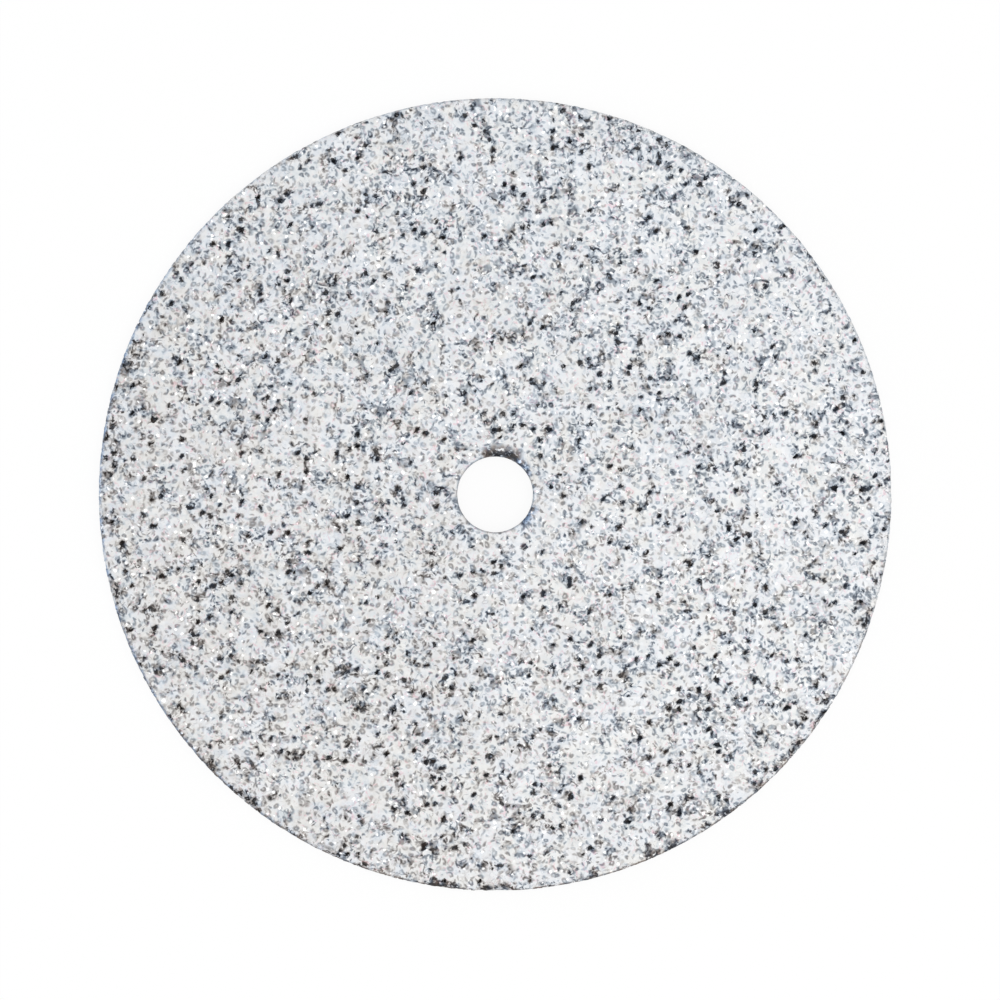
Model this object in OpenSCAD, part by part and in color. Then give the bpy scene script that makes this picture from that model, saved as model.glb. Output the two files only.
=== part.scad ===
// Thin cutting disc of bonded white abrasive grain, for a small rotary tool.
// It is one moulded piece: two flat faces, a rim, and a plain hole for the mandrel's screw.
// The disc lies on its back face at z = 0, and the hole's axis is the z axis.

/* [Disc] */
// Outside diameter of the disc
disc_d = 22; // [16:0.5:40]
// Thickness from face to face
disc_t = 0.6; // [0.5:0.05:2]
// Diameter of the hole for the mandrel's screw
bore_d = 2.1; // [1.6:0.1:6]

/* [Corners] */
// Rounding of the two corners round the rim
rim_round = 0.1; // [0.04:0.01:0.2]
// Rounding of the two corners round the hole
bore_round = 0.06; // [0.03:0.01:0.2]
// Steepness of a chip's wall where it meets the front face, in degrees
chip_wall = 45; // [30:5:60]

/* [Hidden] */

disc_r = disc_d / 2;
bore_r = bore_d / 2;
round_fn = 48;
turned_fn = 360;

// Chips where grain has broken out of the front face's corner at the rim: direction from the
// axis in degrees, length along the edge, and reach across the face beyond the rounded corner
rim_chips = [
    [ 34, 0.9, 0.06],
    [ 60, 1.1, 0.05],
    [121, 0.6, 0.14],
    [152, 0.8, 0.05],
    [194, 1.3, 0.22],
    [214, 1.0, 0.06],
    [231, 1.5, 0.20],
    [237, 1.0, 0.08],
    [246, 1.1, 0.09],
    [270, 1.5, 0.14],
    [283, 1.2, 0.05],
    [307, 1.4, 0.05],
    [320, 0.8, 0.24],
    [325, 0.8, 0.12],
    [342, 0.9, 0.14]
];

// Chips at the front face's corner round the hole, given in the same way
bore_chips = [
    [ 43, 0.42, 0.05],
    [ 70, 0.60, 0.20],
    [ 94, 0.50, 0.14],
    [118, 0.36, 0.05],
    [322, 0.45, 0.04]
];

// Half of the disc's section, from the hole's wall to the rim, with its four rounded corners
module section() {
    difference() {
        translate([bore_r, 0])
            square([disc_r - bore_r, disc_t]);
        for (top = [0, 1]) {
            corner_cut(disc_r, rim_round, 1, top);
            corner_cut(bore_r, bore_round, -1, top);
        }
    }
}

// What a rounded corner leaves off the section: a small square less a circle. outward is 1 at
// the rim and -1 at the hole, and top is 1 at the front face and 0 at the back
module corner_cut(edge, rounding, outward, top) {
    centre = [edge - outward * rounding, top ? disc_t - rounding : rounding];
    spare = rounding / 4;
    difference() {
        translate([outward > 0 ? centre.x : edge - spare, top ? centre.y : -spare])
            square(rounding + spare);
        translate(centre)
            circle(rounding, $fn = round_fn);
    }
}

// The shallow bowl that a chip leaves. In the front face's plane it is a circle, which crosses
// the edge at both ends of the chip and reaches in past the rounded corner
module chip(edge, rounding, outward, place) {
    half_length = place[1] / 2;
    reach = rounding + place[2];
    beyond = (half_length ^ 2 - reach ^ 2) / (2 * reach);
    circle_r = reach + beyond;
    height = circle_r / tan(chip_wall);
    rotate(place[0])
        translate([edge + outward * beyond, 0, disc_t + height])
            sphere(norm([circle_r, height]), $fn = round_fn);
}

module disc() {
    color("gainsboro")
        difference() {
            rotate_extrude($fn = turned_fn)
                section();
            for (place = rim_chips)
                chip(disc_r, rim_round, 1, place);
            for (place = bore_chips)
                chip(bore_r, bore_round, -1, place);
        }
}

disc();
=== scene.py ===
# %% [markdown]
# # A thin cutting disc of bonded white grain
# The real object is one moulding: crushed white crystal, pressed into a thin disc with a little bond
# that glues the grains where they touch, and fired. Its looks are its grain: small pale crystals
# pressed level with the faces, a paler bond that half fills the gaps between them, and open pores.
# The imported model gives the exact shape. Everything here is grown on that shape's own skin.

import bmesh
import bpy
import numpy as np
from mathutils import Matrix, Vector


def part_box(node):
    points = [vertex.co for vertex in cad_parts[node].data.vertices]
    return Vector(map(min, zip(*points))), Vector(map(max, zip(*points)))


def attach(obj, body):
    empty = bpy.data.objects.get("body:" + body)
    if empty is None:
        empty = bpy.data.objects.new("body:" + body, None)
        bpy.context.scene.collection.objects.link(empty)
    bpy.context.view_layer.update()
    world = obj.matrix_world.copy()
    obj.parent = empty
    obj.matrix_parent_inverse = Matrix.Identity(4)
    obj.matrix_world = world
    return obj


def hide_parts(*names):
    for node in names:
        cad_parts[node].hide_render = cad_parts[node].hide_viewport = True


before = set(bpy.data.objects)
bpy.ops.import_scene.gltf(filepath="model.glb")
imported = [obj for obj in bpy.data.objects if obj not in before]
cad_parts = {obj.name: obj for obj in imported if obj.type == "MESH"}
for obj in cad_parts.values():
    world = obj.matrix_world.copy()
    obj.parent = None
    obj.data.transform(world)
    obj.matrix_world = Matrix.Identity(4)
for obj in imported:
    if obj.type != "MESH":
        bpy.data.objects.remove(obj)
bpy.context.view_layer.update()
MM = 1000.0
low, high = (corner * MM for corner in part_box("disc"))
print(f"the disc measures {high.x - low.x:.2f} x {high.y - low.y:.2f} x {high.z - low.z:.2f} mm")

# %% [markdown]
# The looks are worked out in millimetres, where grain has handy numbers, and are brought back to
# metres when a piece is finished. The sizes of the disc come from the frame: its radius, its
# thickness, and the radius of its hole, which is the least distance of any point from the axis.

# %% Measure the disc
skin_points = np.array([v.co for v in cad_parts["disc"].data.vertices]) * MM
rim_r = high.x
thick = high.z
bore_r = float(np.hypot(skin_points[:, 0], skin_points[:, 1]).min())
RIM_CORNER = 0.1
BORE_CORNER = 0.06
print(f"rim radius {rim_r:.3f} mm, thickness {thick:.3f} mm, hole radius {bore_r:.3f} mm")

# %% [markdown]
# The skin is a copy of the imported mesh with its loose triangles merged. It is only a guide: grain is
# scattered over it and the bond is made from it, and then it is thrown away.

# %% Copy the skin
def skin_mesh():
    """The disc's own surface in millimetres, as one closed mesh."""
    bm = bmesh.new()
    bm.from_mesh(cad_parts["disc"].data)
    bmesh.ops.scale(bm, vec=(MM, MM, MM), verts=bm.verts)
    bmesh.ops.remove_doubles(bm, verts=bm.verts, dist=1e-4)
    return bm


skin = skin_mesh()
print(f"the skin has {len(skin.faces)} faces and {sum(f.calc_area() for f in skin.faces):.1f} mm2")

# %% [markdown]
# Nodes are used twice here: geometry nodes shape the grain and the bond, and shader nodes paint
# them. Both kinds of tree know the same textures, so one helper adds a node to either. A value that
# is a socket is linked, and any other is typed in.

# %% A helper for nodes
def add(tree, kind, inputs=None, **settings):
    """Adds a node, sets it up, and links or fills its inputs."""
    node = tree.nodes.new(kind)
    for name, value in settings.items():
        setattr(node, name, value)
    for place, value in (inputs or {}).items():
        if isinstance(value, bpy.types.NodeSocket):
            tree.links.new(value, node.inputs[place])
        else:
            node.inputs[place].default_value = value
    return node


def math(tree, operation, a, b=0.0, clamp=False):
    """The result of one sum on two numbers or sockets."""
    node = add(tree, "ShaderNodeMath", {0: a, 1: b}, operation=operation, use_clamp=clamp)
    return node.outputs[0]


def product(tree, *factors):
    """All the factors multiplied."""
    total = factors[0]
    for factor in factors[1:]:
        total = math(tree, "MULTIPLY", total, factor)
    return total


def fade(tree, value, start, end, low=0.0, high=1.0):
    """A smooth step from low to high as value goes from start to end."""
    node = add(
        tree,
        "ShaderNodeMapRange",
        {"Value": value, "From Min": start, "From Max": end, "To Min": low, "To Max": high},
        interpolation_type="SMOOTHSTEP",
    )
    return node.outputs["Result"]


def cloud(tree, place, size, detail=1.0):
    """A soft noise whose blobs are about size millimetres across."""
    node = add(
        tree,
        "ShaderNodeTexNoise",
        {"Vector": place, "Scale": 1.0 / size, "Detail": detail, "Roughness": 0.5},
    )
    return node.outputs["Fac"]


def bent(tree, place, size, reach, upward=1.0):
    """The same place pushed about by a noise, which makes round and straight shapes ragged."""
    noise = add(tree, "ShaderNodeTexNoise", {"Vector": place, "Scale": 1.0 / size, "Detail": 1.0})
    centred = add(
        tree, "ShaderNodeVectorMath", {0: noise.outputs["Color"], 1: (0.5, 0.5, 0.5)}, operation="SUBTRACT"
    ).outputs[0]
    return add(
        tree,
        "ShaderNodeVectorMath",
        {0: centred, 1: (2 * reach, 2 * reach, 2 * reach * upward), 2: place},
        operation="MULTIPLY_ADD",
    ).outputs[0]


def cells(tree, place, size, shift, spread=1.0):
    """A pattern of cells: how far the nearest heart is, the way from it, and its random numbers."""
    moved = add(tree, "ShaderNodeVectorMath", {0: place, 1: shift}, operation="ADD").outputs[0]
    node = add(
        tree, "ShaderNodeTexVoronoi", {"Vector": moved, "Scale": 1.0 / size, "Randomness": spread}
    )
    far = math(tree, "MULTIPLY", node.outputs["Distance"], size)
    way = add(tree, "ShaderNodeVectorMath", {0: moved, 1: node.outputs["Position"]}, operation="SUBTRACT")
    return far, way.outputs[0], node.outputs["Color"]


def axes(tree, vector):
    """The three numbers of a vector or a colour."""
    return add(tree, "ShaderNodeSeparateXYZ", {"Vector": vector}).outputs


# %% [markdown]
# Pores are the black dots of the face: bubbles in the mass, or places where a grain has fallen out,
# which the pressed face happens to cut through. Their black is painted shade. They must sit in the
# same spots in the shape and in the paint. So one function builds them from a point in space, and both
# kinds of tree call it. Each cell of a pattern holds a bubble at its heart, and a soft cloud makes
# bubbles crowd in some places.

# %% The pattern of the pores
PORE_CELL = 0.27
PORE_R = 0.0585
CROWD_SIZE = 0.5


def crowd(tree, place):
    """Where pores and gaps crowd together: 0 in sound ground, and 1 in the thick of them."""
    patch = cloud(tree, place, CROWD_SIZE, 2.0)
    off_line = math(tree, "ABSOLUTE", math(tree, "SUBTRACT", cloud(tree, place, 2 * CROWD_SIZE, 2.0), 0.5))
    chain = fade(tree, off_line, 0.045, 0.005, 0.0, 0.10)
    return fade(tree, math(tree, "ADD", patch, chain), 0.46, 0.64)


def pores(tree, place):
    """How much of a point lies in a pore, and how much in the loose ground round one."""
    ragged = bent(tree, bent(tree, place, 0.09, 0.055), 0.045, 0.022)
    far, _, colour = cells(tree, ragged, PORE_CELL, (0, 0, 0))
    chance = math(tree, "ADD", axes(tree, colour)["X"], product(tree, crowd(tree, place), 0.50))
    radius = fade(tree, chance, 0.52, 1.08, 0.0, PORE_R)
    radius = product(tree, radius, fade(tree, to_walls(tree, place)[1], 0.1, 0.45))
    near = math(tree, "SUBTRACT", radius, far)
    loose = math(tree, "MULTIPLY", fade(tree, near, -0.10, 0.01), fade(tree, radius, 0.01, 0.04))
    return fade(tree, near, -0.010, 0.010), loose


def to_walls(tree, place):
    """How far a point is from the rim and from the hole, and from the axis."""
    level = add(tree, "ShaderNodeVectorMath", {0: place, 1: (1, 1, 0)}, operation="MULTIPLY").outputs[0]
    across = add(tree, "ShaderNodeVectorMath", {0: level}, operation="LENGTH").outputs["Value"]
    return math(tree, "SUBTRACT", rim_r, across), math(tree, "SUBTRACT", across, bore_r), across


def least_wall(tree, place):
    """How far a point is from the nearer wall."""
    to_rim, to_bore, _ = to_walls(tree, place)
    return math(tree, "MINIMUM", to_rim, to_bore)


def depth_below(tree, place):
    """How far a point lies inside the whole, unchipped disc."""
    height = axes(tree, place)["Z"]
    least = math(tree, "MINIMUM", height, math(tree, "SUBTRACT", thick, height))
    return math(tree, "MINIMUM", least, least_wall(tree, place))


print(f"pores lie in cells of {PORE_CELL} mm and are up to {2 * PORE_R} mm wide")

# %% [markdown]
# The bond is the body of the disc. The skin is rebuilt as an even net of small squares, which keeps
# the flat faces, the hole, the rounded corners and the chips, and then sinks a little below the true
# surface: nowhere much, because bond fills the gaps nearly flush, but deep in the pores.

# %% Make the bond
NET = 0.092
BOND_SINK = (0.0, 0.035)
WALL_SINK = 0.35
PORE_DEPTH = 0.14


def new_tree(name):
    """An empty geometry tree with one way in and one way out."""
    tree = bpy.data.node_groups.new(name, "GeometryNodeTree")
    tree.interface.new_socket("Geometry", in_out="INPUT", socket_type="NodeSocketGeometry")
    tree.interface.new_socket("Geometry", in_out="OUTPUT", socket_type="NodeSocketGeometry")
    return tree, add(tree, "NodeGroupInput"), add(tree, "NodeGroupOutput")


def sink_tree():
    """Sinks a closed skin along its normals by the noise of the bond and by the pores."""
    tree, start, end = new_tree("sink_bond")
    place = add(tree, "GeometryNodeInputPosition").outputs[0]
    normal = add(tree, "GeometryNodeInputNormal").outputs[0]
    uneven = fade(tree, cloud(tree, place, 0.3, 2.0), 0.36, 0.64, *BOND_SINK)
    level = math(tree, "ABSOLUTE", axes(tree, normal)["Z"])
    uneven = product(tree, uneven, fade(tree, level, 0.2, 0.9, WALL_SINK, 1.0))
    depth = math(tree, "ADD", product(tree, pores(tree, place)[0], PORE_DEPTH), uneven)
    inward = math(tree, "MULTIPLY", depth, -1.0)
    offset = add(tree, "ShaderNodeVectorMath", {0: normal, "Scale": inward}, operation="SCALE").outputs[0]
    moved = add(tree, "GeometryNodeSetPosition", {"Geometry": start.outputs[0], "Offset": offset})
    tree.links.new(moved.outputs[0], end.inputs[0])
    return tree


def grown(name, source, *setups):
    """A new mesh grown from source by modifiers, each set up by a function."""
    guide = bpy.data.objects.new("guide", source)
    bpy.context.scene.collection.objects.link(guide)
    for setup in setups:
        setup(guide)
    bpy.context.view_layer.update()
    depsgraph = bpy.context.evaluated_depsgraph_get()
    mesh = bpy.data.meshes.new_from_object(guide.evaluated_get(depsgraph))
    bpy.data.objects.remove(guide)
    bpy.data.meshes.remove(source)
    mesh.name = name
    return mesh


def even_net(guide):
    net = guide.modifiers.new("net", "REMESH")
    net.mode = "VOXEL"
    net.voxel_size = NET
    net.adaptivity = 0.0


def by_nodes(tree):
    """A setup that runs a geometry tree on the guide."""
    def setup(guide):
        guide.modifiers.new(tree.name, "NODES").node_group = tree
    return setup


def as_mesh(name, bm):
    mesh = bpy.data.meshes.new(name)
    bm.to_mesh(mesh)
    return mesh


bond_mesh = grown("bond", as_mesh("skin", skin), even_net, by_nodes(sink_tree()))
print(f"the bond has {len(bond_mesh.polygons)} faces")

# %% [markdown]
# A grain is a crushed crystal: a small convex block with a few flat faces and no two alike. Each kind
# starts as a ball of twenty faces, is knocked out of shape, is cut flat below where the bond holds it,
# and gets its flat faces back from a convex hull. Its outward side is +Z.

# %% Cut a few kinds of grain
GRAIN_D = 0.2
KINDS = 8
rng = np.random.default_rng(7)


def grain_kind(index):
    """One crushed crystal, a grain's width across."""
    ball = bmesh.new()
    bmesh.ops.create_icosphere(ball, subdivisions=1, radius=GRAIN_D / 2)
    bm = bmesh.new()
    for v in ball.verts:
        knocked = v.co * (1 + rng.uniform(-0.28, 0.22))
        bm.verts.new(knocked + Vector(rng.uniform(-0.025, 0.025, 3)))
    stretch = Vector((rng.uniform(0.75, 1.3), rng.uniform(0.7, 1.1), rng.uniform(0.75, 1.0)))
    bmesh.ops.scale(bm, vec=stretch, verts=bm.verts)
    hull = bmesh.ops.convex_hull(bm, input=bm.verts)
    bmesh.ops.delete(bm, geom=[v for v in hull["geom_interior"] if v.is_valid], context="VERTS")
    bmesh.ops.bisect_plane(
        bm,
        geom=bm.verts[:] + bm.edges[:] + bm.faces[:],
        plane_co=(0, 0, -0.3 * GRAIN_D),
        plane_no=(0, 0, 1),
        clear_inner=True,
    )
    bmesh.ops.holes_fill(bm, edges=bm.edges)
    bmesh.ops.recalc_face_normals(bm, faces=bm.faces)
    return bpy.data.objects.new(f"grain_kind_{index}", as_mesh(f"grain_kind_{index}", bm))


kinds = bpy.data.collections.new("grain_kinds")
for index in range(KINDS):
    kinds.objects.link(grain_kind(index))

# %% [markdown]
# Grain is scattered over the skin with a least spacing, so that no two grains share a spot and none
# line up. Each copy picks a kind, a size, a turn and a depth of its own, and none lies over a pore.
# The mould's plates press the whole lot level, so whatever sticks out of the true surface is pushed
# back to it: that gives the flat pale tops that fill most of the face.

# %% Scatter the grain
SPACING = 0.175
CROWDING = 90.0
GRAIN_SIZE = (0.75, 1.35)
GRAIN_SINK = (0.02, 0.065)
TILT = 0.5
LEVELLING = 0.012


def scatter_tree(name, seed):
    """Lays grain over a skin, sunk into it and turned at random."""
    tree, start, end = new_tree(name)
    spots = add(
        tree,
        "GeometryNodeDistributePointsOnFaces",
        {"Mesh": start.outputs[0], "Distance Min": SPACING, "Density Max": CROWDING, "Seed": seed},
        distribute_method="POISSON",
    )
    place = add(tree, "GeometryNodeInputPosition").outputs[0]
    chipped = math(tree, "GREATER_THAN", depth_below(tree, place), 0.035)
    hollow = math(tree, "MAXIMUM", chipped, math(tree, "GREATER_THAN", pores(tree, place)[0], 0.35))
    kept = add(tree, "GeometryNodeDeleteGeometry", {"Geometry": spots.outputs["Points"], "Selection": hollow})
    depth = random_value(tree, -GRAIN_SINK[1], -GRAIN_SINK[0], seed + 1)
    inward = add(
        tree, "ShaderNodeVectorMath", {0: spots.outputs["Normal"], "Scale": depth}, operation="SCALE"
    )
    sunk = add(tree, "GeometryNodeSetPosition", {"Geometry": kept.outputs[0], "Offset": inward.outputs[0]})
    chosen = add(tree, "GeometryNodeCollectionInfo", {"Separate Children": True, "Reset Children": True})
    chosen.inputs["Collection"].default_value = kinds
    grains = add(
        tree,
        "GeometryNodeInstanceOnPoints",
        {
            "Points": sunk.outputs[0],
            "Instance": chosen.outputs[0],
            "Pick Instance": True,
            "Rotation": spots.outputs["Rotation"],
            "Scale": random_value(tree, *GRAIN_SIZE, seed + 2),
        },
    )
    turn = add(
        tree,
        "FunctionNodeRandomValue",
        {0: (-TILT, -TILT, 0), 1: (TILT, TILT, 6.283), "Seed": seed + 3},
        data_type="FLOAT_VECTOR",
    )
    turned = add(
        tree,
        "GeometryNodeRotateInstances",
        {"Instances": grains.outputs[0], "Rotation": turn.outputs[0], "Local Space": True},
    )
    named = add(
        tree,
        "GeometryNodeStoreNamedAttribute",
        {"Geometry": turned.outputs[0], "Name": "luck", "Value": random_value(tree, 0, 1, seed + 4)},
        data_type="FLOAT",
        domain="INSTANCE",
    )
    real = add(tree, "GeometryNodeRealizeInstances", {"Geometry": named.outputs[0]})
    tree.links.new(real.outputs[0], end.inputs[0])
    return tree


def random_value(tree, least, most, seed):
    node = add(tree, "FunctionNodeRandomValue", {2: least, 3: most, "Seed": seed}, data_type="FLOAT")
    return node.outputs[1]


def press_level(mesh):
    """Pushes whatever sticks out of the true disc back to its faces, walls and rounded corners."""
    place = np.zeros(len(mesh.vertices) * 3)
    mesh.vertices.foreach_get("co", place)
    place = place.reshape(-1, 3)
    below = LEVELLING * grain_luck(mesh)
    across = np.hypot(place[:, 0], place[:, 1])
    out = np.clip(across, bore_r + below, rim_r - below)
    up = np.clip(place[:, 2], below, thick - below)
    for wall, outward, corner in ((rim_r, 1, RIM_CORNER), (bore_r, -1, BORE_CORNER)):
        for face, upward in ((thick, 1), (0, -1)):
            centre = (wall - outward * corner, face - upward * corner)
            past = np.maximum((out - centre[0]) * outward, 0), np.maximum((up - centre[1]) * upward, 0)
            far = np.maximum(np.hypot(*past), 1e-9)
            over = (past[0] > 0) & (past[1] > 0) & (far > corner - below)
            shrink = (corner - below) / far
            out = np.where(over, centre[0] + outward * past[0] * shrink, out)
            up = np.where(over, centre[1] + upward * past[1] * shrink, up)
    place[:, :2] *= (out / across)[:, None]
    place[:, 2] = up
    mesh.vertices.foreach_set("co", place.ravel())
    mesh.update()


def grain_luck(mesh):
    """The random number of the grain that each point belongs to, or 0 for the bond."""
    luck = np.zeros(len(mesh.vertices))
    if "luck" in mesh.attributes:
        mesh.attributes["luck"].data.foreach_get("value", luck)
    return luck


def part_of_skin(name, wanted):
    """The faces of the skin whose normal's height is wanted."""
    bm = skin.copy()
    others = [f for f in bm.faces if not wanted(f.normal.z)]
    bmesh.ops.delete(bm, geom=others, context="FACES")
    return as_mesh(name, bm)


SIDES = {
    "grains_front": (lambda height: height > 0.5, 11),
    "grains_back": (lambda height: height < -0.5, 29),
    "grains_edge": (lambda height: abs(height) <= 0.5, 47),
}
grain_meshes = {}
for name, (wanted, seed) in SIDES.items():
    mesh = grown(name, part_of_skin(name, wanted), by_nodes(scatter_tree(name, seed)))
    press_level(mesh)
    grain_meshes[name] = mesh
    mesh.calc_loop_triangles()
    print(f"{name}: {len(mesh.vertices)} points, {len(mesh.loop_triangles)} triangles")
press_level(bond_mesh)

# %% [markdown]
# The paint. White crystal is pale grey to white, and what gives the face its life is small: painted
# shade in rings and crescents where a grain meets the bond and in dashes in the narrow gaps, pores
# painted black as shade, a few painted glints as highlights, and a faint drift between cool and cream.
# The lips get painted shade and painted cool light, and the tone has a painted light falloff to the
# left. All of it is painted in space, so it fits every side.

# %% Paint the grain
def srgb(*levels):
    """A colour written as the 0 to 255 levels that it shows on a screen, made linear."""
    part = np.array(levels) / 255
    linear = np.where(part <= 0.04045, part / 12.92, ((part + 0.055) / 1.055) ** 2.4)
    return (*[float(x) for x in linear], 1.0)


TONES = [
    (0.08, srgb(20, 20, 23)),
    (0.25, srgb(62, 63, 68)),
    (0.57, srgb(143, 145, 150)),
    (0.78, srgb(198, 200, 204)),
    (0.91, srgb(232, 233, 235)),
    (1.00, srgb(254, 254, 255)),
]
GROUND = (0.868, 0.898)
MARK = {"cell": thick / 3, "spread": 0.85, "radius": (0.022, 0.058), "stroke": 0.051, "long": 0.32, "flat": 0.35}
MARK_DARK = (0.13, 0.38)
SEAM = {"cell": 0.33, "stroke": (0.042, 0.072), "dark": (0.02, 0.70)}
LOOSE = 0.25
SMUDGE = 0.33
PAINTED_GLINT = 0.35
PAINTED_FALLOFF = 0.045
MARK_COOLING = 0.0048
GROUND_COOLING = 0.0022
DARKER = 0.054


def between(tree, share, least, most):
    """A number that goes from least to most as share goes from 0 to 1."""
    node = add(tree, "ShaderNodeMapRange", {"Value": share, "To Min": least, "To Max": most})
    return node.outputs["Result"]


def marks(tree, place, crowded):
    """Painted shade in the narrow gaps round small grains, drawn as round outlines. The bond covers a part of
    each, which leaves arcs and dots.
    """
    waved = bent(tree, bent(tree, place, 1.5, 0.15, 0.0), 0.12, 0.024)
    lift = MARK["spread"] * MARK["cell"] / 2
    _, way, colour = cells(tree, waved, MARK["cell"], (3.7, 3.7, lift), MARK["spread"])
    squash = fade(tree, least_wall(tree, place), 0.02, 0.10, 1.0, MARK["flat"])
    squash = add(tree, "ShaderNodeCombineXYZ", {"X": 1.0, "Y": 1.0, "Z": squash}).outputs[0]
    way = add(tree, "ShaderNodeVectorMath", {0: way, 1: squash}, operation="MULTIPLY").outputs[0]
    luck = axes(tree, colour)
    aim = add(tree, "ShaderNodeVectorMath", {0: colour, 1: (0.5, 0.5, 0.5)}, operation="SUBTRACT").outputs[0]
    aim = add(tree, "ShaderNodeVectorMath", {0: aim}, operation="NORMALIZE").outputs[0]
    along = add(tree, "ShaderNodeVectorMath", {0: way, 1: aim}, operation="DOT_PRODUCT").outputs["Value"]
    shortened = product(tree, along, -MARK["long"])
    oval = add(tree, "ShaderNodeVectorMath", {0: aim, "Scale": shortened}, operation="SCALE").outputs[0]
    oval = add(tree, "ShaderNodeVectorMath", {0: way, 1: oval}, operation="ADD").outputs[0]
    far = add(tree, "ShaderNodeVectorMath", {0: oval}, operation="LENGTH").outputs["Value"]
    own = between(tree, luck["Y"], *MARK["radius"])
    line = fade(tree, math(tree, "ABSOLUTE", math(tree, "SUBTRACT", far, own)), MARK["stroke"], 0.0)
    turned = axes(tree, aim)
    side = add(tree, "ShaderNodeCombineXYZ", {"X": turned["Y"], "Y": turned["Z"], "Z": turned["X"]}).outputs[0]
    face = add(tree, "ShaderNodeVectorMath", {0: way, 1: side}, operation="DOT_PRODUCT").outputs["Value"]
    again = math(tree, "FRACT", product(tree, luck["X"], 13.7))
    bare = math(tree, "ADD", math(tree, "DIVIDE", face, own), between(tree, again, -0.5, 0.9))
    third = math(tree, "FRACT", product(tree, luck["Z"], 7.3))
    dark = between(tree, third, *MARK_DARK)
    return product(tree, line, fade(tree, bare, -0.25, 0.25), dark, between(tree, crowded, 0.95, 1.17))


def seams(tree, place, crowded, loose):
    """Painted shade in short dashes and forks where larger grains nearly touch, strongest round the pores."""
    ragged = bent(tree, place, 0.16, 0.05)
    node = add(
        tree, "ShaderNodeTexVoronoi", {"Vector": ragged, "Scale": 1 / SEAM["cell"]}, feature="DISTANCE_TO_EDGE"
    )
    far = math(tree, "MULTIPLY", node.outputs["Distance"], SEAM["cell"])
    bare = math(tree, "MAXIMUM", product(tree, crowded, 0.55), loose)
    stroke = between(tree, bare, *SEAM["stroke"])
    line = fade(tree, math(tree, "DIVIDE", far, stroke), 1.0, 0.1)
    chance = math(tree, "ADD", cloud(tree, bent(tree, place, 0.3, 0.3), 0.14), product(tree, bare, 0.18))
    sound = fade(tree, to_walls(tree, place)[1], 0.05, 0.30)
    dark = product(tree, between(tree, bare, *SEAM["dark"]), sound)
    return product(tree, line, fade(tree, chance, 0.60, 0.68), dark)


# Where round the axis, in degrees with half widths, the lips get painted cool light and painted shade.
RIM_COOL_LIGHT = ((192, 62),)
BORE_SHADE = ((90, 20), (69, 17))
BORE_COOL_LIGHT = ((48, 24), (328, 20))


def toward(tree, place, across, ways):
    """1 where the axis looks out in one of the given ways, each with its half width in degrees."""
    spot = axes(tree, place)
    shares = []
    for middle, half in ways:
        way = np.radians(middle)
        along = math(tree, "ADD", product(tree, spot["X"], np.cos(way)), product(tree, spot["Y"], np.sin(way)))
        turn = math(tree, "DIVIDE", along, across)
        shares.append(fade(tree, turn, np.cos(np.radians(half)), np.cos(np.radians(half * 0.4))))
    most = shares[0]
    for share in shares[1:]:
        most = math(tree, "MAXIMUM", most, share)
    return most


def lips(tree, place):
    """The rounded lips of the rim and the hole: painted shade on those that face toward -Y, painted cool light
    on those that face toward -X, and a little painted shade on the rounded corners of all of them.
    """
    to_rim, to_bore, across = to_walls(tree, place)
    edge = math(tree, "MAXIMUM", fade(tree, to_rim, 0.09, 0.0, 0.0, 0.25), fade(tree, to_bore, 0.07, 0.0))
    patchy = cloud(tree, bent(tree, place, 0.2, 0.1), 0.16, 2.0)
    low = product(tree, math(tree, "DIVIDE", axes(tree, place)["Y"], across), -1.0)
    line = product(tree, fade(tree, to_rim, 0.08, 0.03), fade(tree, patchy, 0.42, 0.54), 0.66)
    fine = cloud(tree, bent(tree, place, 0.12, 0.06), 0.10, 1.0)
    spiky = math(tree, "ADD", product(tree, cloud(tree, place, 0.5), 0.5), product(tree, fine, 0.5))
    shade_patches = product(tree, fade(tree, to_rim, 0.30, 0.04), fade(tree, spiky, 0.535, 0.60))
    rim_shade = product(tree, math(tree, "MAXIMUM", line, shade_patches), fade(tree, low, 0.15, 0.85))
    bore_shade = product(tree, fade(tree, to_bore, 0.42, 0.08), toward(tree, place, across, BORE_SHADE))
    bore_shade = product(tree, bore_shade, fade(tree, fine, 0.30, 0.48))
    rim_cool_light = product(tree, fade(tree, to_rim, 0.14, 0.0), toward(tree, place, across, RIM_COOL_LIGHT))
    bore_cool_light = product(tree, fade(tree, to_bore, 0.30, 0.0), toward(tree, place, across, BORE_COOL_LIGHT))
    strokes = product(tree, bore_cool_light, fade(tree, fine, 0.46, 0.58), 0.75)
    bore_shade = math(tree, "MAXIMUM", bore_shade, strokes)
    painted_cool_light = product(tree, math(tree, "MAXIMUM", rim_cool_light, bore_cool_light), fade(tree, patchy, 0.66, 0.46))
    front = fade(tree, axes(tree, place)["Z"], thick - 0.25, thick - 0.08, 0.12, 1.0)
    painted_shade = product(tree, math(tree, "MAXIMUM", rim_shade, bore_shade), front)
    return painted_shade, product(tree, painted_cool_light, front), edge


def tinted(tree, colour, tint, share):
    """The colour multiplied by a tint, as far as share says."""
    node = add(tree, "ShaderNodeMix", {"Factor": share}, data_type="RGBA", blend_type="MULTIPLY")
    tree.links.new(colour, node.inputs[6])
    node.inputs[7].default_value = tint
    return node.outputs[2]


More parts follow.
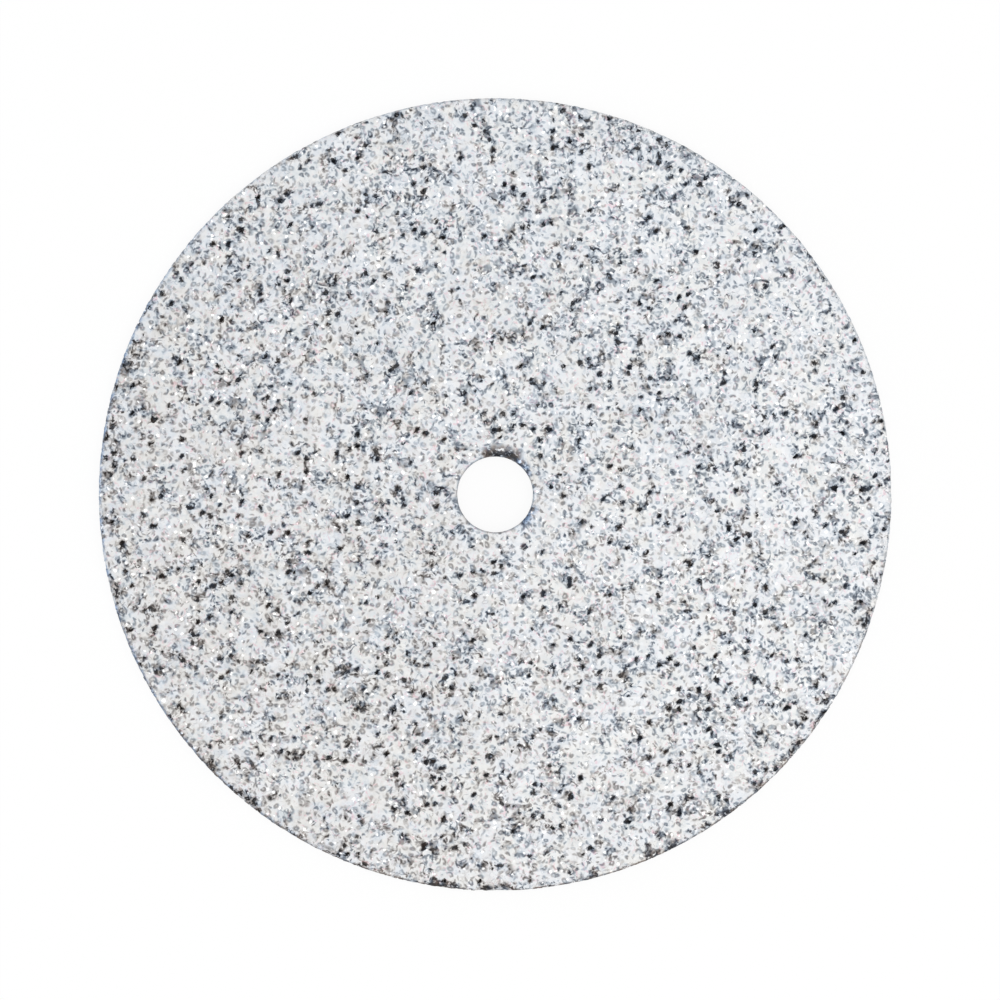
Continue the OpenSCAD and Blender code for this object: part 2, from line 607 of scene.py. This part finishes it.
def grain_material(name, bonded):
    """Pale crystal with faint tints; its outlines, gaps, pores, hollows and lips carry painted shade, and it has
    painted glints as highlights, painted cool light on some lips and a painted light falloff to the left.
    """
    material = bpy.data.materials.new(name)
    material.use_nodes = True
    tree = material.node_tree
    shader = tree.nodes["Principled BSDF"]
    where = add(tree, "ShaderNodeTexCoord").outputs["Object"]
    place = add(tree, "ShaderNodeVectorMath", {0: where, "Scale": MM}, operation="SCALE").outputs[0]
    crowded = crowd(tree, place)

    tone = fade(tree, cloud(tree, place, 0.25, 2.0), 0.3, 0.7, *GROUND)
    # Painted light falloff: the tone is painted darker toward the left, with a broad random cloud on top.
    slow = math(tree, "ADD", product(tree, axes(tree, place)["X"], PAINTED_FALLOFF), fade(tree, cloud(tree, place, 2.5, 1.0), 0.3, 0.7, 0.35, 0.65))
    tone = math(tree, "ADD", tone, between(tree, slow, -DARKER, 0.0))
    tone = math(tree, "SUBTRACT", tone, marks(tree, place, crowded))
    pore, loose = pores(tree, place)
    tone = math(tree, "SUBTRACT", tone, seams(tree, place, crowded, loose))
    patchy = fade(tree, cloud(tree, bent(tree, place, 0.2, 0.1), 0.11), 0.40, 0.60)
    tone = math(tree, "SUBTRACT", tone, product(tree, loose, patchy, LOOSE))
    smudge = fade(tree, cloud(tree, bent(tree, place, 0.3, 0.3), 0.22, 1.0), 0.50, 0.68)
    smudge = product(tree, smudge, between(tree, crowded, 0.06, 1.0))
    tone = math(tree, "SUBTRACT", tone, product(tree, smudge, SMUDGE))
    # Painted glints: small bright spots painted into the tone as painted highlights of crystal faces.
    far, _, luck = cells(tree, bent(tree, place, 0.1, 0.04), 0.17, (5.1, 5.1, 5.1))
    bright = between(tree, axes(tree, luck)["X"], -0.04, 0.060)
    painted_glint = fade(tree, math(tree, "SUBTRACT", bright, far), 0.0, 0.02)
    tone = math(tree, "ADD", tone, product(tree, painted_glint, PAINTED_GLINT))
    if not bonded:
        own = add(tree, "ShaderNodeAttribute", attribute_name="luck").outputs["Fac"]
        tone = math(tree, "ADD", tone, between(tree, own, -0.02, 0.015))
        # Painted shade: the steep sides of each grain are painted darker than its flat top.
        steep = add(tree, "ShaderNodeAttribute", attribute_name="steep").outputs["Fac"]
        tone = math(tree, "MULTIPLY", tone, between(tree, steep, 1.0, 0.86))
    shade, painted_cool_light, edge = lips(tree, place)
    # Painted shade in hollows: where a point lies deep inside the whole disc, in chips and pores, the tone is
    # painted darker, patchy near the rim and the hole and steady elsewhere.
    recess_shade = fade(tree, cloud(tree, bent(tree, place, 0.12, 0.08), 0.16, 1.5), 0.45, 0.55, 0.04, 0.85)
    deep = fade(tree, depth_below(tree, bent(tree, place, 0.05, 0.06)), 0.045, 0.09)
    by_wall = fade(tree, least_wall(tree, place), 0.6, 0.4)
    recess_shade = between(tree, by_wall, 0.35, recess_shade)
    # Painted shade on the rounded corners and on the lips that face toward -Y, and painted cool light, a bluish
    # and slightly darker cast, on the lips that face toward -X.
    tone = math(tree, "MULTIPLY", tone, between(tree, edge, 1.0, 0.80))
    tone = math(tree, "MULTIPLY", tone, between(tree, shade, 1.0, 0.22))
    tone = math(tree, "MULTIPLY", tone, between(tree, painted_cool_light, 1.0, 0.80))
    tone = math(tree, "MULTIPLY", tone, between(tree, deep, 1.0, recess_shade))
    # Painted shade: inside a pore the tone is painted nearly black.
    tone = math(tree, "MULTIPLY", tone, between(tree, pore, 1.0, 0.11))

    ramp = add(tree, "ShaderNodeValToRGB", {"Fac": tone})
    stops = ramp.color_ramp.elements
    stops[0].position, stops[0].color = TONES[0]
    stops[1].position, stops[1].color = TONES[-1]
    for position, colour in TONES[1:-1]:
        stops.new(position).color = colour
    colour = ramp.outputs["Color"]
    aslant = math(tree, "ADD", axes(tree, place)["X"], axes(tree, place)["Y"])
    cool = math(tree, "ADD", cloud(tree, place, 0.24, 3.0), product(tree, aslant, MARK_COOLING))
    marked = fade(tree, tone, 0.92, 0.70)
    slant = math(tree, "ADD", cloud(tree, place, 0.7, 3.0), product(tree, aslant, GROUND_COOLING))
    colour = tinted(tree, colour, srgb(253.5, 254.4, 255), fade(tree, slant, 0.50, 0.64))
    colour = tinted(tree, colour, srgb(255, 254, 250.6), fade(tree, slant, 0.56, 0.40))
    colour = tinted(tree, colour, srgb(240, 248.5, 255), product(tree, marked, fade(tree, cool, 0.46, 0.60)))
    colour = tinted(tree, colour, srgb(255, 249.5, 243.5), product(tree, marked, fade(tree, cool, 0.50, 0.38)))
    dark = fade(tree, tone, 0.62, 0.15)
    colour = tinted(tree, colour, srgb(205, 228, 255), product(tree, dark, fade(tree, cool, 0.40, 0.60)))
    colour = tinted(tree, colour, srgb(255, 232, 212), product(tree, dark, fade(tree, cool, 0.50, 0.34)))
    rosy = cloud(tree, bent(tree, place, 0.4, 0.8), 0.2, 1.0)
    colour = tinted(tree, colour, srgb(255, 231, 236), fade(tree, rosy, 0.61, 0.74))
    # The painted shade is tinted brown, deep hollows take a little of that brown, and the painted cool light is
    # tinted blue.
    colour = tinted(tree, colour, srgb(255, 236, 222), math(tree, "MAXIMUM", shade, product(tree, deep, 0.3)))
    colour = tinted(tree, colour, srgb(196, 222, 255), painted_cool_light)
    tree.links.new(colour, shader.inputs["Base Color"])
    rough = fade(tree, cloud(tree, place, 0.12), 0.35, 0.6, 0.45, 0.85)
    tree.links.new(rough, shader.inputs["Roughness"])
    grit = cloud(tree, place, 0.05, 2.0)
    bump = add(tree, "ShaderNodeBump", {"Strength": 0.4, "Distance": 0.00001, "Height": grit})
    tree.links.new(bump.outputs["Normal"], shader.inputs["Normal"])
    return material


grain_paint = grain_material("white_grain", bonded=False)
bond_paint = grain_material("pale_bond", bonded=True)

# %% [markdown]
# Each finished piece goes back to metres and gets its material, and a map for baking: the two faces
# are seen from above and below, and the walls are unrolled. Grain's buried undersides share a corner
# of the map that the round face leaves free.

# %% Finish the pieces
def surface_of(place):
    """Which surface of the whole disc each point is nearest to: 0 front, 1 back, 2 rim, 3 hole."""
    across = np.hypot(place[:, 0], place[:, 1])
    depths = [thick - place[:, 2], place[:, 2], rim_r - across, across - bore_r]
    return np.argmin(depths, axis=0)


def peeled(place, surface):
    """The disc's front laid flat, with the rim's wall peeled outward and the hole's inward."""
    across = np.maximum(np.hypot(place[:, 0], place[:, 1]), 1e-9)
    drop = thick - place[:, 2]
    radius = np.where(surface == 2, rim_r + drop, np.where(surface == 3, bore_r - drop, across))
    return place[:, :2] * (radius / across)[:, None]


def outward_of(place, surface):
    """The direction that points straight out of the disc at each point."""
    across = np.maximum(np.hypot(place[:, 0], place[:, 1]), 1e-9)[:, None]
    radial = np.concatenate([place[:, :2] / across, np.zeros((len(place), 1))], axis=1)
    up = np.tile([0.0, 0.0, 1.0], (len(place), 1))
    kinds_of_way = np.stack([up, -up, radial, -radial])
    return kinds_of_way[surface, np.arange(len(place))]


def lay_out(mesh, share):
    """Adds the map for baking, and marks how steep each face of the grain is."""
    faces = len(mesh.polygons)
    centre = np.zeros(faces * 3)
    normal = np.zeros(faces * 3)
    sides = np.zeros(faces, dtype=int)
    mesh.polygons.foreach_get("center", centre)
    mesh.polygons.foreach_get("normal", normal)
    mesh.polygons.foreach_get("loop_total", sides)
    centre = centre.reshape(-1, 3)
    normal = normal.reshape(-1, 3)
    surface = surface_of(centre)
    facing = (outward_of(centre, surface) * normal).sum(axis=1)
    grain = "luck" in mesh.attributes
    aside = facing < 0.05 if grain else surface == 1
    steep = mesh.attributes.new("steep", "FLOAT", "FACE")
    steep.data.foreach_set("value", np.clip((0.95 - facing) / 0.5, 0, 1) if grain else np.zeros(faces))

    points = np.zeros(len(mesh.vertices) * 3)
    mesh.vertices.foreach_get("co", points)
    corners = np.zeros(len(mesh.loops), dtype=int)
    mesh.loops.foreach_get("vertex_index", corners)
    place = points.reshape(-1, 3)[corners]
    flat = peeled(place, np.repeat(surface, sides))
    big = share / 2
    small = 0.97 * (2 ** 0.5 * (1 - big) - big) / (1 + 2 ** 0.5)
    reach = rim_r + thick
    aside = np.repeat(aside, sides)[:, None]
    spots = np.where(aside, 1 - small + flat * small / reach, big + flat * big / reach)
    layer = mesh.uv_layers.new(name="OFBake")
    layer.data.foreach_set("uv", spots.ravel())
    print(f"{mesh.name}: {aside.mean():.0%} of the map's corners lie aside")


def finish_piece(name, mesh, material, share):
    """A piece of the object in metres, which rides on the one body."""
    lay_out(mesh, share)
    for polygon in mesh.polygons:
        polygon.use_smooth = False
    mesh.transform(((1 / MM, 0, 0, 0), (0, 1 / MM, 0, 0), (0, 0, 1 / MM, 0), (0, 0, 0, 1)))
    mesh.materials.clear()
    mesh.materials.append(material)
    piece = bpy.data.objects.new(name, mesh)
    bpy.context.scene.collection.objects.link(piece)
    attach(piece, "root")
    return piece


bond = finish_piece("bond", bond_mesh, bond_paint, 0.80)
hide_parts("disc")
for name, mesh in grain_meshes.items():
    finish_piece(name, mesh, grain_paint, 0.94)

# %% [markdown]
# The stage is a plain pale floor. A camera ray sees mostly its own white, so that the picture's ground
# is white, and the rest of it takes the light and the disc's soft shadow.

# %% Lay the floor
FLOOR_W = 0.6
OWN_WHITE = 0.90


def seen_directly(tree):
    """1 for a ray from the camera, a mirror or glass, and 0 for one that lights a dull surface."""
    path = add(tree, "ShaderNodeLightPath").outputs
    passed_on = math(tree, "MAXIMUM", path["Is Glossy Ray"], path["Is Transmission Ray"])
    return math(tree, "MAXIMUM", path["Is Camera Ray"], passed_on)


def pale_floor():
    bm = bmesh.new()
    bmesh.ops.create_grid(bm, x_segments=1, y_segments=1, size=FLOOR_W / 2)
    floor = bpy.data.objects.new("floor", as_mesh("floor", bm))
    bpy.context.scene.collection.objects.link(floor)
    material = bpy.data.materials.new("pale_floor")
    material.use_nodes = True
    tree = material.node_tree
    tree.nodes.clear()
    lit = add(tree, "ShaderNodeBsdfDiffuse", {"Color": (0.85, 0.85, 0.85, 1)})
    white = add(tree, "ShaderNodeEmission", {"Color": (1, 1, 1, 1), "Strength": 1.0})
    share = product(tree, seen_directly(tree), OWN_WHITE)
    mixed = add(tree, "ShaderNodeMixShader", {"Fac": share, 1: lit.outputs[0], 2: white.outputs[0]})
    add(tree, "ShaderNodeOutputMaterial", {"Surface": mixed.outputs[0]})
    floor.data.materials.append(material)
    return floor


pale_floor()

# %% [markdown]
# The light is soft and comes mostly from nearly straight above, with a cooler one low at the left.
# The lips round the hole and the rim also carry painted cool light and painted shade.

# %% Light the disc
ROOM_LIGHT = 0.70


def soft_lamp(name, spot, size, power, colour):
    """A square lamp that looks at the disc."""
    lamp = bpy.data.lights.new(name, "AREA")
    lamp.size = size
    lamp.energy = power
    lamp.color = colour
    thing = bpy.data.objects.new(name, lamp)
    thing.location = spot
    thing.rotation_euler = (-Vector(spot)).to_track_quat("-Z", "Y").to_euler()
    bpy.context.scene.collection.objects.link(thing)


soft_lamp("key", (0.02, -0.02, 0.17), 0.15, 0.17, (1.0, 0.99, 0.97))
soft_lamp("side", (-0.30, 0.02, 0.05), 0.10, 0.22, (0.62, 0.80, 1.0))

def pale_room():
    """Even light from all round, which a camera ray sees as plain white beyond the floor."""
    world = bpy.data.worlds.new("studio")
    world.use_nodes = True
    tree = world.node_tree
    sky = tree.nodes["Background"].inputs
    sky["Color"].default_value = (1, 1, 1, 1)
    tree.links.new(between(tree, seen_directly(tree), ROOM_LIGHT, 1.0), sky["Strength"])
    return world


bpy.context.scene.world = pale_room()
bpy.context.scene.view_settings.view_transform = "Standard"

# %% [markdown]
# The camera looks straight down the disc's axis, from far enough that the walls of the rim and the
# hole stay hidden. The photo is 1000 pixels wide. The disc's rim is a circle of 396.5 pixels there,
# with its centre a little above and left of the middle.

# %% Place the camera
PHOTO_W = 1000
RIM_PX = 396.9
RIM_CENTRE_PX = (495.1, 494.4)
SENSOR = 36.0
LENS = 180.0
px = high.x / MM / RIM_PX
camera = bpy.data.cameras.new("camera")
camera.lens = LENS
camera.sensor_width = SENSOR
distance = LENS / SENSOR * PHOTO_W * px
eye = bpy.data.objects.new("camera", camera)
right, down = (PHOTO_W / 2 - c for c in RIM_CENTRE_PX)
eye.location = (right * px, -down * px, high.z / MM + distance)
camera.clip_start = 0.001
camera.clip_end = 10.0
bpy.context.scene.collection.objects.link(eye)
bpy.context.scene.camera = eye
print(f"the camera is {distance * MM:.0f} mm above the disc")
